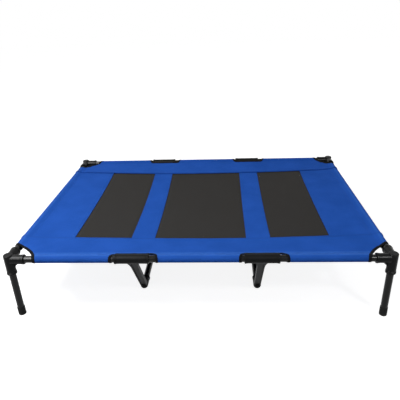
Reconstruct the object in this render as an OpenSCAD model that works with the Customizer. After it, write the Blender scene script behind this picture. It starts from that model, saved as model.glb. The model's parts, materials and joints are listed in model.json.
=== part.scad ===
// Raised cot: a push-together tube frame with moulded corner joints,
// two middle supports and a sewn sheet with mesh windows.
// The origin is on the floor under the middle of the cot.
// +X runs along the length, +Y to the back and +Z up.

/* [Overall] */
// Length over the corner joints
cot_l = 1220; // [1000:1:1500]
// Width over the corner joints
cot_w = 901; // [700:1:1200]
// Height to the top of the corner joints
cot_h = 231.5; // [190:0.5:320]

/* [Tubes] */
// Outer diameter of every steel tube
tube_od = 22; // [19:0.5:25]
// Wall of every steel tube
tube_wall = 1.2; // [0.8:0.1:2]
// Gap all round between a tube and the socket that holds it
fit_gap = 0.05; // [0.02:0.01:0.1]
// Length of the spigot that joins the two halves of a side rail
spigot_l = 40; // [20:1:80]
// Length of the cone between a side rail and its spigot
spigot_cone_l = 6; // [2:1:15]

/* [Corner joints] */
// Wall of the two rail sockets
socket_wall = 4; // [2:0.1:5]
// Wall of the upright post that holds the leg
post_wall = 3.8; // [2:0.1:5]
// Reach of the rail sockets from the post's axis
arm_reach = 51; // [40:1:80]
// Reach of the leg socket below the rails' axis
leg_reach = 52; // [45:1:90]
// Solid core between the ends of the three sockets
core_wall = 4; // [2:0.5:8]
// Height of the post's top over the rail sockets
post_proud = 2.5; // [1:0.5:8]
// Rounding of the post's top edge
post_round = 3; // [1:0.5:6]
// Height of the lip round a socket's mouth
lip_h = 1; // [0.8:0.1:2.5]
// Width of the lip along the socket
lip_w = 6; // [3:0.5:10]
// Bevel on the lip's edges and in the socket's mouth
lip_bevel = 0.7; // [0.2:0.1:1]
// Height of the fine ridge behind the lip
ridge_h = 0.5; // [0.2:0.1:1]
// Width of the fine ridge
ridge_w = 1.6; // [1:0.1:3]
// Space between the ridge and the lip
ridge_space = 2; // [1:0.1:5]
// Length of the gusset along each of the two sockets that it joins
gusset_l = 12; // [6:1:20]
// Thickness of the gusset
gusset_t = 6; // [3:0.5:10]

/* [Feet of the corner legs] */
// Height of a foot cap
cap_h = 30; // [20:1:50]
// Wall of a foot cap
cap_wall = 1.2; // [0.8:0.1:3]
// Thickness of the cap's floor under the tube
cap_floor = 5; // [3:0.5:10]
// Rounding of the cap's bottom edge
cap_round = 2.4; // [1:0.1:5]

/* [Middle supports] */
// Distance of each support from the middle of the cot
support_x = 202; // [150:1:260]
// Length of the sleeve round the long rail
sleeve_l = 108; // [80:1:140]
// Solid wall between the two rail ends inside the sleeve
sleeve_web = 6; // [3:0.5:12]
// Distance that the foot stands in from the rail
foot_in = 140; // [80:1:200]
// Width of the leg under the sleeve
strut_w = 24; // [18:0.5:32]
// Width of the leg at the foot
strut_foot_w = 22; // [16:0.5:24]
// Thickness of the leg
strut_t = 14; // [10:0.5:18]
// Width of the flare on each side of the leg under the sleeve
flare_w = 18; // [10:1:25]
// Drop of the flare down the leg
flare_h = 50; // [20:1:70]
// Depth that the flare is sunk into the sleeve
flare_sunk = 0.5; // [0.2:0.1:1]
// Width of the rim round the leg's hollow front face
face_rim = 3.5; // [2:0.5:5]
// Depth of the hollow front face
face_depth = 2.5; // [1:0.5:4]
// Distance of the hollow face's ends from the sleeve and from the foot
face_margin = 20; // [14:1:40]
// Radius of the round boss on the foot's face
boss_r = 6; // [4:0.5:8]
// Height of the round boss
boss_h = 0.8; // [0.4:0.1:2]
// Wall of the foot socket
foot_wall = 2.45; // [1.5:0.05:4]
// Length of the foot socket from the foot's centre
foot_socket_l = 44; // [30:1:70]
// Solid wall at the closed end of the foot socket, from the foot's centre
foot_stop = 4; // [2:0.5:10]

/* [Sheet] */
// Thickness of the cloth
cloth_t = 0.8; // [0.5:0.1:1.5]
// Gap between a rail and the hem sleeve round it
hem_gap = 0.3; // [0.2:0.1:1]
// Distance of the hem's stitch line from the rail's axis
hem_stitch = 20; // [17:0.5:30]
// Height of the stitch line over the rail's axis
stitch_rise = 5; // [-4:0.5:8]
// Lap of the hem over the edge of the sheet at the stitch line
hem_lap = 1; // [0.6:0.1:3]
// Sag of the sheet's middle below its stitch lines
sheet_sag = 28; // [0:1:60]
// Distance that the sheet has slid to the right on the frame
sheet_shift = 6; // [-8:1:8]
// Bare rail between a corner socket and the end of the hem
rail_bare = 18; // [12:1:40]
// Radius of the curved corner cut-out
corner_cut_r = 129; // [100:1:400]
// Width of the band between a long rail's axis and the seam
band_w = 136; // [90:1:200]
// Room between a sleeve's end and its hem cut-out, at the outer edge
cutout_room = 24; // [20:1:40]
// Room between a sleeve's end and its hem cut-out, at the inner end
cutout_top_room = 16; // [16:1:30]
// Room between a sleeve's back and the inner end of its hem cut-out
cutout_back = 13.5; // [12:0.5:25]
// Rounding of a hem cut-out's inner corners
cutout_round = 14; // [8:1:20]

/* [Binding tape] */
// Width of the tape at the corner cut-outs
corner_tape_w = 9; // [6:0.5:16]
// Width of the tape at the hem cut-outs
cutout_tape_w = 7; // [4:0.5:7]
// Thickness that the tape adds on each face of the cloth
tape_t = 0.4; // [0.2:0.1:0.8]

/* [Mesh windows] */
// Width of the middle window
mid_window_w = 310; // [200:1:400]
// Width of the two strips beside the middle window
strip_w = 80; // [40:1:120]
// Width of the cloth between a side rail's axis and the side window
end_w = 164; // [100:1:200]

/* [Hidden] */
$fn = 96;
// Sides of the small circles inside a hull
hull_fn = 32;
// Straight parts of the hem's turn round a rail
hem_steps = 28;
// Straight parts of the flare's hollow side
flare_steps = 10;
// Longest side of the sheet's facets
facet = 40;
steel = "#2b2d2d";
plastic = "#232626";
rubber = "#1d1f1f";
blue = "#2a5bbd";
mesh = "#4a4642";
tape = "#16191c";

// Margin by which a cut runs past the faces that it opens
past = 1;

// Sockets and tubes
tube_r = tube_od / 2;
tube_id = tube_od - 2 * tube_wall;
bore_r = tube_r + fit_gap;
socket_r = bore_r + socket_wall;
post_r = bore_r + post_wall;
spigot_r = tube_id / 2 - fit_gap;

// Frame
joint_r = max(post_r, socket_r) + lip_h;
post_x = cot_l / 2 - joint_r;
post_y = cot_w / 2 - joint_r;
post_rise = socket_r + post_proud;
rail_z = cot_h - post_rise;
stop_depth = bore_r + core_wall;
leg_top = rail_z - stop_depth;
cap_r = bore_r + cap_wall;

// Middle supports
foot_r = bore_r + foot_wall;
foot_z = foot_r + lip_h;
foot_y = post_y - foot_in;
strut_drop = rail_z - foot_z;
strut_l = norm([foot_in, strut_drop]);
strut_lean = atan2(foot_in, strut_drop);
flare_top = sqrt(pow(socket_r, 2) - pow(strut_t / 2, 2)) - flare_sunk;
flare_end = flare_top + flare_h;
cross_end = foot_y - foot_stop;

// Sheet
hem_ri = tube_r + hem_gap;
hem_ro = hem_ri + cloth_t;
hem_ray = atan2(stitch_rise, hem_stitch);
hem_apex = norm([hem_stitch, stitch_rise]) + hem_lap;
stitch_x = post_x - hem_stitch;
stitch_y = post_y - hem_stitch;
stitch_z = rail_z + stitch_rise;
corner_cut = arm_reach + rail_bare;
corner_centre = (sqrt(2 * pow(corner_cut_r, 2) - pow(corner_cut, 2)) - corner_cut) / 2;
hem_half_x = post_x - corner_cut / 2;
hem_half_y = post_y - corner_cut / 2;
outer_margin = hem_ro + tape_t + past;
seam_y = post_y - band_w;
mid_edge = mid_window_w / 2;
strip_edge = mid_edge + strip_w;
side_edge = post_x - end_w;
sheet_side = post_x + outer_margin + abs(sheet_shift);

// Seams along the sheet, and the lines that divide it into facets
left_end = sheet_shift - side_edge;
left_strip = [sheet_shift - strip_edge, sheet_shift - mid_edge];
right_strip = [sheet_shift + mid_edge, sheet_shift + strip_edge];
right_end = sheet_shift + side_edge;
x_lines = facet_lines(concat([-stitch_x, left_end], left_strip, right_strip, [right_end, stitch_x]));
y_lines = facet_lines([-stitch_y, -seam_y, seam_y, stitch_y]);
front_lines = lines_between(y_lines, -stitch_y, -seam_y);
middle_lines = lines_between(y_lines, -seam_y, seam_y);
rear_lines = lines_between(y_lines, seam_y, stitch_y);

// Even divisions between the given stops, none longer than a facet's side
function facet_lines(stops) = concat(
    [for (i = [0 : len(stops) - 2])
        let (span = stops[i + 1] - stops[i], parts = ceil(span / facet))
        for (k = [0 : parts - 1]) stops[i] + span * k / parts],
    [stops[len(stops) - 1]]
);

// The lines of a list from one of its values to another
function lines_between(lines, low, high) = [for (v = lines) if (v >= low && v <= high) v];

// Height of the sagging sheet: none at its stitch lines, most in its middle
function sheet_height(x, y) =
    stitch_z - sheet_sag * (1 - pow(x / stitch_x, 2)) * (1 - pow(y / stitch_y, 2));

// Point at a distance and an angle from the origin
function point_at(d, angle) = d * [cos(angle), sin(angle)];

// Copies a shape made for the front left to another corner
module at_corner(side, end) {
    if (side > 0 && end > 0) rotate([0, 0, 180]) children();
    else if (side > 0) mirror([1, 0, 0]) children();
    else if (end > 0) mirror([0, 1, 0]) children();
    else children();
}

// Outline of a socket with its ridge and its lip, turned about the Y axis of the sketch
module socket_outline(r, start, reach) {
    lip_start = reach - lip_w;
    ridge_end = lip_start - ridge_space;
    ridge_start = ridge_end - ridge_w;
    lip_r = r + lip_h;
    polygon([
        [0, start], [r, start],
        [r, ridge_start], [r + ridge_h, ridge_start + ridge_h],
        [r + ridge_h, ridge_end - ridge_h], [r, ridge_end],
        [r, lip_start], [lip_r - lip_bevel, lip_start], [lip_r, lip_start + lip_bevel],
        [lip_r, reach - lip_bevel], [lip_r - lip_bevel, reach], [0, reach]
    ]);
}

// Blind hole for a tube, with a bevelled mouth
module socket_bore(stop, reach) {
    rotate_extrude()
        polygon([
            [0, stop], [bore_r, stop], [bore_r, reach - lip_bevel],
            [bore_r + lip_bevel + past, reach + past], [0, reach + past]
        ]);
}

// Straight tube along Z
module tube(l) {
    difference() {
        cylinder(h = l, r = tube_r);
        translate([0, 0, -past]) cylinder(h = l + 2 * past, r = tube_id / 2);
    }
}

// Points the Z axis of a shape along X or along Y
module along_x() { rotate([0, 90, 0]) children(); }
module along_y() { rotate([-90, 0, 0]) children(); }

// Upright post with a rounded top and the leg socket below
module corner_post() {
    rotate([180, 0, 0]) rotate_extrude() socket_outline(post_r, 0, leg_reach);
    rotate_extrude() {
        square([post_r - post_round, post_rise]);
        square([post_r, post_rise - post_round]);
        translate([post_r - post_round, post_rise - post_round]) circle(r = post_round);
    }
}

// Three-cornered web between a rail socket and the leg socket
module gusset() {
    rotate([90, 0, 0])
        translate([0, 0, -gusset_t / 2])
            linear_extrude(gusset_t)
                polygon([
                    [bore_r, -bore_r],
                    [post_r + gusset_l, -bore_r],
                    [post_r + gusset_l, -socket_r],
                    [post_r, -socket_r - gusset_l],
                    [bore_r, -socket_r - gusset_l]
                ]);
}

// Moulded three-way corner joint
module corner_joint(side, end) {
    color(plastic)
        at_corner(side, end)
            translate([-post_x, -post_y, rail_z])
                difference() {
                    union() {
                        corner_post();
                        along_x() rotate_extrude() socket_outline(socket_r, post_r / 2, arm_reach);
                        along_y() rotate_extrude() socket_outline(socket_r, post_r / 2, arm_reach);
                        gusset();
                        rotate([0, 0, 90]) gusset();
                    }
                    along_x() socket_bore(stop_depth, arm_reach);
                    along_y() socket_bore(stop_depth, arm_reach);
                    rotate([180, 0, 0]) socket_bore(stop_depth, leg_reach);
                }
}

// Corner leg
module leg_tube(side, end) {
    color(steel)
        at_corner(side, end)
            translate([-post_x, -post_y, cap_floor])
                tube(leg_top - cap_floor);
}

// Cap over the lower end of a corner leg
module foot_cap(side, end) {
    color(rubber)
        at_corner(side, end)
            translate([-post_x, -post_y, 0])
                difference() {
                    rotate_extrude() {
                        translate([0, cap_round]) square([cap_r, cap_h - cap_round]);
                        square([cap_r - cap_round, cap_h]);
                        translate([cap_r - cap_round, cap_round]) circle(r = cap_round);
                    }
                    translate([0, 0, cap_floor]) cylinder(h = cap_h, r = bore_r);
                }
}

// Outer section of a long rail, from a corner joint into a middle support
module long_rail_end(side, end) {
    start = support_x + sleeve_web / 2;
    color(steel)
        at_corner(side, end)
            translate([-post_x + stop_depth, -post_y, rail_z])
                along_x() tube(post_x - stop_depth - start);
}

// Middle section of a long rail, between the two middle supports
module long_rail_middle(end) {
    half_l = support_x - sleeve_web / 2;
    color(steel)
        translate([-half_l, end * post_y, rail_z])
            along_x() tube(2 * half_l);
}

// Front half of a side rail, plain at both ends
module side_rail_front(side) {
    color(steel)
        at_corner(side, -1)
            translate([-post_x, -post_y + stop_depth, rail_z])
                along_y() tube(post_y - stop_depth);
}

// Rear half of a side rail, drawn down to a spigot that plugs into the front half
module side_rail_rear(side) {
    l = post_y - stop_depth;
    inner_r = spigot_r - tube_wall;
    color(steel)
        at_corner(side, 1)
            translate([-post_x, -post_y + stop_depth, rail_z])
                along_y() rotate_extrude()
                    polygon([
                        [tube_id / 2, 0], [tube_r, 0], [tube_r, l - spigot_cone_l / 2],
                        [spigot_r, l], [spigot_r, l + spigot_l], [inner_r, l + spigot_l],
                        [inner_r, l], [tube_id / 2, l - spigot_cone_l]
                    ]);
}

// Face of the leg of a middle support: X across it, Y down it from the rail's axis
module strut_outline() {
    top_half = strut_w / 2;
    foot_half = strut_foot_w / 2;
    // Half of the leg's width where the flare has run out
    side = top_half + (foot_half - top_half) * flare_end / strut_l;
    hollow = [
        for (k = [0 : flare_steps])
            let (turn = 90 * k / flare_steps)
            [side + flare_w * (1 - sin(turn)), flare_end - flare_h * cos(turn)]
    ];
    polygon([[-top_half, 0], [top_half, 0], [foot_half, strut_l], [-foot_half, strut_l]]);
    translate([0, strut_l]) circle(r = foot_half);
    for (s = [0, 1])
        mirror([s, 0]) polygon(concat([[0, 0], [side + flare_w, 0]], hollow, [[0, flare_end]]));
}

// Hollow in the leg's front face, with round ends
module strut_hollow() {
    start = socket_r + face_margin;
    finish = strut_l - face_margin;
    start_half = strut_w / 2 - face_rim;
    finish_half = strut_foot_w / 2 - face_rim;
    translate([0, start]) circle(r = start_half);
    translate([0, finish]) circle(r = finish_half);
    polygon([[-start_half, start], [start_half, start], [finish_half, finish], [-finish_half, finish]]);
}

// Leaning leg, in its own plane
module strut() {
    rotate([strut_lean - 90, 0, 0]) {
        difference() {
            translate([0, 0, -strut_t / 2]) linear_extrude(strut_t) strut_outline();
            translate([0, 0, -strut_t / 2 - past]) linear_extrude(face_depth + past) strut_hollow();
        }
        translate([0, strut_l, -strut_t / 2 - boss_h]) cylinder(h = boss_h + past, r = boss_r);
    }
}

// Sleeve round the long rail, with a lip at both ends
module rail_sleeve() {
    for (turn = [0, 180])
        rotate([0, 0, turn]) along_x() rotate_extrude() socket_outline(socket_r, 0, sleeve_l / 2);
}

// Foot socket with a round closed end
module foot_socket() {
    along_y() rotate_extrude() {
        socket_outline(foot_r, 0, foot_socket_l);
        intersection() {
            circle(r = foot_r);
            translate([0, -foot_r]) square([foot_r, 2 * foot_r]);
        }
    }
}

// Middle support: rail sleeve, leaning leg and foot socket in one moulding
module support_leg(side, end) {
    color(plastic)
        at_corner(side, end)
            difference() {
                union() {
                    translate([-support_x, -post_y, rail_z]) {
                        rail_sleeve();
                        strut();
                    }
                    translate([-support_x, -foot_y, foot_z]) foot_socket();
                }
                for (turn = [0, 180])
                    translate([-support_x, -post_y, rail_z]) rotate([0, 0, turn])
                        along_x() socket_bore(sleeve_web / 2, sleeve_l / 2);
                translate([-support_x, -foot_y, foot_z]) along_y() socket_bore(foot_stop, foot_socket_l);
            }
}

// Tube between the feet of a front and a rear support leg
module cross_tube(side) {
    color(steel)
        translate([side * support_x, -cross_end, foot_z])
            along_y() tube(2 * cross_end);
}

// Sagging slab over the given lines
module sagging_slab(xs, ys, t) {
    columns = len(xs);
    rows = len(ys);
    under = columns * rows;
    points = [for (side = [1, -1], x = xs, y = ys) [x, y, sheet_height(x, y) + side * t / 2]];
    top = [
        for (i = [0 : columns - 2], j = [0 : rows - 2])
            let (a = i * rows + j)
            each [[a, a + 1, a + rows + 1], [a, a + rows + 1, a + rows]]
    ];
    bottom = [for (f = top) [f[0] + under, f[2] + under, f[1] + under]];
    edge = concat(
        [for (i = [0 : columns - 1]) i * rows],
        [for (j = [1 : rows - 1]) (columns - 1) * rows + j],
        [for (i = [columns - 2 : -1 : 0]) i * rows + rows - 1],
        [for (j = [rows - 2 : -1 : 0]) j]
    );
    rim = [
        for (k = [0 : len(edge) - 2])
            let (p = edge[k], q = edge[k + 1])
            each [[p, q, q + under], [p, q + under, p + under]]
    ];
    polyhedron(points, concat(top, bottom, rim));
}

// Section of a hem sleeve: round the rail and drawn in to the stitch line.
// X points inwards from the rail's axis and Y up.
module hem_section(r) {
    apex = hem_apex * r / hem_ro;
    start = acos(r / apex);
    turn = 360 - 2 * start;
    polygon(concat(
        [point_at(apex, hem_ray)],
        [for (k = [0 : hem_steps]) point_at(r, hem_ray + start + turn * k / hem_steps)]
    ));
}

// Hem sleeves along the four rails
module hem_forms(r, extra) {
    for (s = [0, 1]) {
        mirror([0, s, 0])
            translate([0, -post_y, rail_z])
                rotate([90, 0, 90]) linear_extrude(2 * (hem_half_x + extra), center = true) hem_section(r);
        mirror([s, 0, 0])
            translate([-post_x, 0, rail_z])
                rotate([90, 0, 0]) linear_extrude(2 * (hem_half_y + extra), center = true) hem_section(r);
    }
}

// Upright prism over a plan, through the whole depth of the sheet
module over_plan() {
    low = rail_z - outer_margin - sheet_sag;
    translate([0, 0, low]) linear_extrude(rail_z + outer_margin - low) children();
}

// Part of the sheet between the given lines, with the hems that lie in a plan.
// grow thickens it outwards for the binding tape.
module sheet_part(xs, ys, grow) {
    difference() {
        union() {
            sagging_slab(xs, ys, cloth_t + 2 * grow);
            intersection() {
                hem_forms(hem_ro + grow, 0);
                over_plan() children();
            }
        }
        hem_forms(hem_ri, past);
    }
}

// Plan of the curved corner cut-outs, widened by the given amount
module corner_cuts(grow) {
    for (sx = [-1, 1], sy = [-1, 1])
        translate([sheet_shift + sx * (post_x + corner_centre), sy * (post_y + corner_centre)])
            circle(r = corner_cut_r + grow);
}

// Plan of one hem cut-out at the front left, widened by the given amount
module cutout(grow) {
    outer_half = sleeve_l / 2 + cutout_room + grow;
    round_r = cutout_round + grow;
    round_x = sleeve_l / 2 + cutout_top_room + grow - round_r;
    round_y = socket_r + cutout_back + grow - round_r;
    translate([-support_x, -post_y])
        hull() {
            for (s = [-1, 1]) translate([s * round_x, round_y]) circle(r = round_r, $fn = hull_fn);
            translate([-outer_half, -outer_margin]) square([2 * outer_half, past]);
        }
}

// Plan of a rectangle between two corners, slid with the sheet
module plan_area(low, high) {
    translate([low[0] + sheet_shift, low[1]]) square(high - low);
}

// Full-width panel with the hem of a long rail
module long_panel(end) {
    color(blue)
        mirror([0, end > 0 ? 1 : 0, 0])
            difference() {
                sheet_part(x_lines, front_lines, 0)
                    plan_area([-sheet_side, -post_y - outer_margin], [sheet_side, -seam_y]);
                over_plan() {
                    corner_cuts(corner_tape_w);
                    translate([sheet_shift, 0]) cutout(0);
                    translate([sheet_shift, 0]) mirror([1, 0]) cutout(0);
                }
            }
}

// Lines across the end of the sheet beyond a side window
function end_lines(side) =
    side > 0 ? lines_between(x_lines, right_end, stitch_x) : lines_between(x_lines, -stitch_x, left_end);

// End panel with the hem of a side rail
module end_panel(side) {
    low_x = side > 0 ? side_edge : -sheet_side;
    high_x = side > 0 ? sheet_side : -side_edge;
    color(blue)
        sheet_part(end_lines(side), middle_lines, 0)
            plan_area([low_x, -seam_y], [high_x, seam_y]);
}

// Strip between two windows
module strip(ends) {
    color(blue) sagging_slab(lines_between(x_lines, ends[0], ends[1]), middle_lines, cloth_t);
}

// Mesh window between two seams
module mesh_window(low_x, high_x) {
    color(mesh) sagging_slab(lines_between(x_lines, low_x, high_x), middle_lines, cloth_t);
}

// Tape along a cut-out: the bound edge of the sheet between the given lines
module binding(xs, end) {
    color(tape)
        intersection() {
            sheet_part(xs, end > 0 ? rear_lines : front_lines, tape_t) children();
            over_plan() children();
        }
}

// Tape along one corner cut-out
module corner_binding(side, end) {
    binding(end_lines(side), end) intersection() {
        difference() {
            corner_cuts(corner_tape_w);
            corner_cuts(0);
        }
        translate([side * post_x, end * post_y]) square(2 * corner_cut_r, center = true);
    }
}

// Tape along one hem cut-out
module cutout_binding(side, end) {
    low_x = side > 0 ? left_strip[1] : left_end;
    high_x = side > 0 ? right_end : right_strip[0];
    binding(lines_between(x_lines, low_x, high_x), end)
        translate([sheet_shift, 0])
            mirror([side > 0 ? 1 : 0, 0]) mirror([0, end > 0 ? 1 : 0])
                difference() {
                    cutout(0);
                    cutout(-cutout_tape_w);
                }
}

corner_joint(-1, -1);  // corner_joint_front_left
corner_joint(1, -1);  // corner_joint_front_right
corner_joint(-1, 1);  // corner_joint_rear_left
corner_joint(1, 1);  // corner_joint_rear_right
leg_tube(-1, -1);  // leg_tube_front_left
leg_tube(1, -1);  // leg_tube_front_right
leg_tube(-1, 1);  // leg_tube_rear_left
leg_tube(1, 1);  // leg_tube_rear_right
foot_cap(-1, -1);  // foot_cap_front_left
foot_cap(1, -1);  // foot_cap_front_right
foot_cap(-1, 1);  // foot_cap_rear_left
foot_cap(1, 1);  // foot_cap_rear_right
long_rail_end(-1, -1);  // front_rail_left
long_rail_middle(-1);  // front_rail_middle
long_rail_end(1, -1);  // front_rail_right
long_rail_end(-1, 1);  // rear_rail_left
long_rail_middle(1);  // rear_rail_middle
long_rail_end(1, 1);  // rear_rail_right
side_rail_front(-1);  // left_rail_front
side_rail_rear(-1);  // left_rail_rear
side_rail_front(1);  // right_rail_front
side_rail_rear(1);  // right_rail_rear
support_leg(-1, -1);  // support_leg_front_left
support_leg(1, -1);  // support_leg_front_right
support_leg(-1, 1);  // support_leg_rear_left
support_leg(1, 1);  // support_leg_rear_right
cross_tube(-1);  // cross_tube_left
cross_tube(1);  // cross_tube_right
long_panel(-1);  // front_panel
long_panel(1);  // rear_panel
end_panel(-1);  // left_panel
end_panel(1);  // right_panel
strip(left_strip);  // strip_left
strip(right_strip);  // strip_right
mesh_window(left_end, left_strip[0]);  // mesh_left
mesh_window(left_strip[1], right_strip[0]);  // mesh_middle
mesh_window(right_strip[1], right_end);  // mesh_right
corner_binding(-1, -1);  // corner_binding_front_left
corner_binding(1, -1);  // corner_binding_front_right
corner_binding(-1, 1);  // corner_binding_rear_left
corner_binding(1, 1);  // corner_binding_rear_right
cutout_binding(-1, -1);  // cutout_binding_front_left
cutout_binding(1, -1);  // cutout_binding_front_right
cutout_binding(-1, 1);  // cutout_binding_rear_left
cutout_binding(1, 1);  // cutout_binding_rear_right
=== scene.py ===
import bpy
import bmesh
import json
import math
import numpy as np
from mathutils import Matrix, Vector


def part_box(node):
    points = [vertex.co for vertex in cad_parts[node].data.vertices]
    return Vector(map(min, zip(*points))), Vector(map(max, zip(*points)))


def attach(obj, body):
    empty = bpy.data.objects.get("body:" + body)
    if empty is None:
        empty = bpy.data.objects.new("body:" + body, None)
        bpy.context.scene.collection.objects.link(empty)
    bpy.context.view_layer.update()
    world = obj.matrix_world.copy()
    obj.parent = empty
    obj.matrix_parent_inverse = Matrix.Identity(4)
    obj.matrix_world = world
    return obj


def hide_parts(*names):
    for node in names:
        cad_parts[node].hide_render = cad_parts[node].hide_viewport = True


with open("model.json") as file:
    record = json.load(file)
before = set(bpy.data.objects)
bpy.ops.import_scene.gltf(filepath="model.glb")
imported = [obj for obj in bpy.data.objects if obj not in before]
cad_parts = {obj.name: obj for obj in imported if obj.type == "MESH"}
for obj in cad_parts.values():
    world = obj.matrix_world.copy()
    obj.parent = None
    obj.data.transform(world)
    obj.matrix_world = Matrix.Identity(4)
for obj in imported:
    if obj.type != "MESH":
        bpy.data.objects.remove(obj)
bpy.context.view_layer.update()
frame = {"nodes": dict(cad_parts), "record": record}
cadNodes = frame["nodes"]
slotOf = {part["node"]: part["material_slot"] for part in frame["record"]["subparts"]}
scene = bpy.context.scene
scene.view_settings.view_transform = "Standard"
print("frame loaded:", len(cadNodes), "nodes")


def middleOf(node):
    low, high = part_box(node)
    return (low + high) / 2


# lines of the frame that the sheet follows, read from the solids
cot = {
    "postX": middleOf("leg_tube_front_right").x,
    "postY": middleOf("leg_tube_rear_right").y,
    "railZ": middleOf("front_rail_middle").z,
    "supportX": middleOf("cross_tube_right").x,
    "slid": middleOf("mesh_middle").x,  # the sheet has slid a little to the right
    "seamY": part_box("mesh_middle")[1].y,
}


# hems of the sheet, and the flat cloth lengths that follow
hem = {
    "stitchIn": 0.020,  # stitch line, in from the rail's axis
    "stitchUp": 0.005,  # and over it
    "clothR": 0.0117,  # middle of the cloth round the tube
    "tail": 0.008,  # cloth behind the stitch line, under the sheet
    "underLayer": 0.0011,  # the cloth coming back lies this much lower
    "rows": (0.001, 0.006),  # stitch rows, in from the stitch line
    "slopeStep": 0.003,  # size of the faces up to the tube
    "wrapStep": 0.0022,  # round it
    "backStep": 0.004,  # and back under the sheet
}
stitchX = cot["postX"] - hem["stitchIn"]
stitchY = cot["postY"] - hem["stitchIn"]
hemReach = math.hypot(hem["stitchIn"], hem["stitchUp"])
hemRay = math.atan2(hem["stitchUp"], hem["stitchIn"])
hemSpread = math.acos(hem["clothR"] / hemReach)
slopeL = math.sqrt(hemReach ** 2 - hem["clothR"] ** 2)  # from the stitch line up to the tube
wrapL = 2 * (math.pi - hemSpread) * hem["clothR"]  # round the tube
backL = 2 * slopeL + wrapL  # round the tube and back to the stitch line
hemL = backL + hem["tail"]


# shader wiring
class Wire:
    # wraps one socket of a node tree, so that maths on it adds Math nodes
    def __init__(self, tree, socket=None):
        self.tree = tree
        self.socket = socket

    def add(self, kind, settings=None, inputs=None, out=0):
        node = self.tree.nodes.new(kind)
        for name, value in (settings or {}).items():
            setattr(node, name, value)
        for name, value in (inputs or {}).items():
            self.feed(node.inputs[name], value)
        return Wire(self.tree, node.outputs[out])

    def feed(self, target, value):
        if isinstance(value, Wire):
            self.tree.links.new(value.socket, target)
        else:
            target.default_value = value

    def math(self, operation, first, second=0.0):
        return self.add("ShaderNodeMath", {"operation": operation}, {0: first, 1: second})

    def __add__(self, other):
        return self.math("ADD", self, other)

    def __radd__(self, other):
        return self.math("ADD", other, self)

    def __sub__(self, other):
        return self.math("SUBTRACT", self, other)

    def __rsub__(self, other):
        return self.math("SUBTRACT", other, self)

    def __mul__(self, other):
        return self.math("MULTIPLY", self, other)

    def __rmul__(self, other):
        return self.math("MULTIPLY", other, self)

    def __truediv__(self, other):
        return self.math("DIVIDE", self, other)

    def __abs__(self):
        return self.math("ABSOLUTE", self)

    def sine(self):
        return self.math("SINE", self)

    def fraction(self):
        return self.math("FRACT", self)

    def smaller(self, other):
        return self.math("MINIMUM", self, other)

    def larger(self, other):
        return self.math("MAXIMUM", self, other)

    def between(self, low, high):
        # 0 below low, 1 above high, smooth on the way
        ends = {"From Min": low, "From Max": high, "Value": self}
        return self.add("ShaderNodeMapRange", {"interpolation_type": "SMOOTHSTEP"}, ends)

    def blend(self, first, second):
        # mixes two colours, with this socket as the factor; 6, 7 and 2 are the node's colour sockets
        picks = {"Factor": self, 6: first, 7: second}
        return self.add("ShaderNodeMix", {"data_type": "RGBA"}, picks, 2)

    def part(self, axis):
        return self.add("ShaderNodeSeparateXYZ", None, {0: self}, axis)

    def stretched(self, scale):
        return self.add("ShaderNodeMapping", None, {"Vector": self, "Scale": scale})

    def noise(self, scale, detail=2.0, rough=0.5):
        inputs = {"Vector": self, "Scale": scale, "Detail": detail, "Roughness": rough}
        return self.add("ShaderNodeTexNoise", None, inputs)

    def bump(self, strength, distance):
        return self.add("ShaderNodeBump", None, {"Height": self, "Strength": strength, "Distance": distance})


def newFinish(name, fixed):
    # material with a Principled shader; fixed holds what is the same all over
    finish = bpy.data.materials.new(name)
    finish.use_nodes = True
    tree = finish.node_tree
    shader = tree.nodes["Principled BSDF"]
    for socket, value in fixed.items():
        shader.inputs[socket].default_value = value
    return finish, Wire(tree), shader


def finishSurface(wire, shader, colour, roughness, normal, alpha=None):
    wire.feed(shader.inputs["Base Color"], colour)
    wire.feed(shader.inputs["Roughness"], roughness)
    wire.feed(shader.inputs["Normal"], normal)
    if alpha is not None:
        wire.feed(shader.inputs["Alpha"], alpha)


def inPlace(wire):
    # the object's own coordinates, in metres
    return wire.add("ShaderNodeTexCoord", out="Object")


def onCloth(wire):
    # flat cloth coordinates in metres, kept in the piece's UV map
    return wire.add("ShaderNodeUVMap", {"uv_map": "cloth"})


# finishes of the frame; cloud and the other scales are noise cells in a metre, an Edge or
# Where is the range over which a noise fades in, and bump is strength and depth in metres
plasticLook = {
    "deep": (0.0040, 0.0043, 0.0044, 1),
    "pale": (0.0080, 0.0085, 0.0087, 1),
    "scuff": (0.050, 0.052, 0.052, 1),
    "scuffShare": 0.5,
    "scuffEdge": (0.66, 0.76),
    "scuffWhere": (0.45, 0.65),
    "cloud": 38,
    "grain": 1400,
    "rub": 240,
    "rubDraw": 0.35,  # scale up and down against the rest
    "bump": (0.09, 0.0004),
    "joint": {"gloss": 0.075, "rough": 0.20},
    "support": {"gloss": 0.055, "rough": 0.36},  # the middle supports have a duller skin
}


def mouldedPlastic(name, gloss, rough):
    finish, wire, shader = newFinish(name, {"Specular IOR Level": gloss})
    place = inPlace(wire)
    cloud = place.noise(plasticLook["cloud"], 4)
    grain = place.noise(plasticLook["grain"], 2)
    rub = place.stretched((1, 1, plasticLook["rubDraw"])).noise(plasticLook["rub"], 5, 0.7)
    scuffs = rub.between(*plasticLook["scuffEdge"]) * cloud.between(*plasticLook["scuffWhere"])
    colour = cloud.blend(plasticLook["deep"], plasticLook["pale"])
    colour = (scuffs * plasticLook["scuffShare"]).blend(colour, plasticLook["scuff"])
    roughness = rough + 0.10 * cloud + 0.12 * scuffs + 0.05 * grain
    normal = (grain + 0.4 * rub).bump(*plasticLook["bump"])
    finishSurface(wire, shader, colour, roughness, normal)
    return finish


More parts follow.
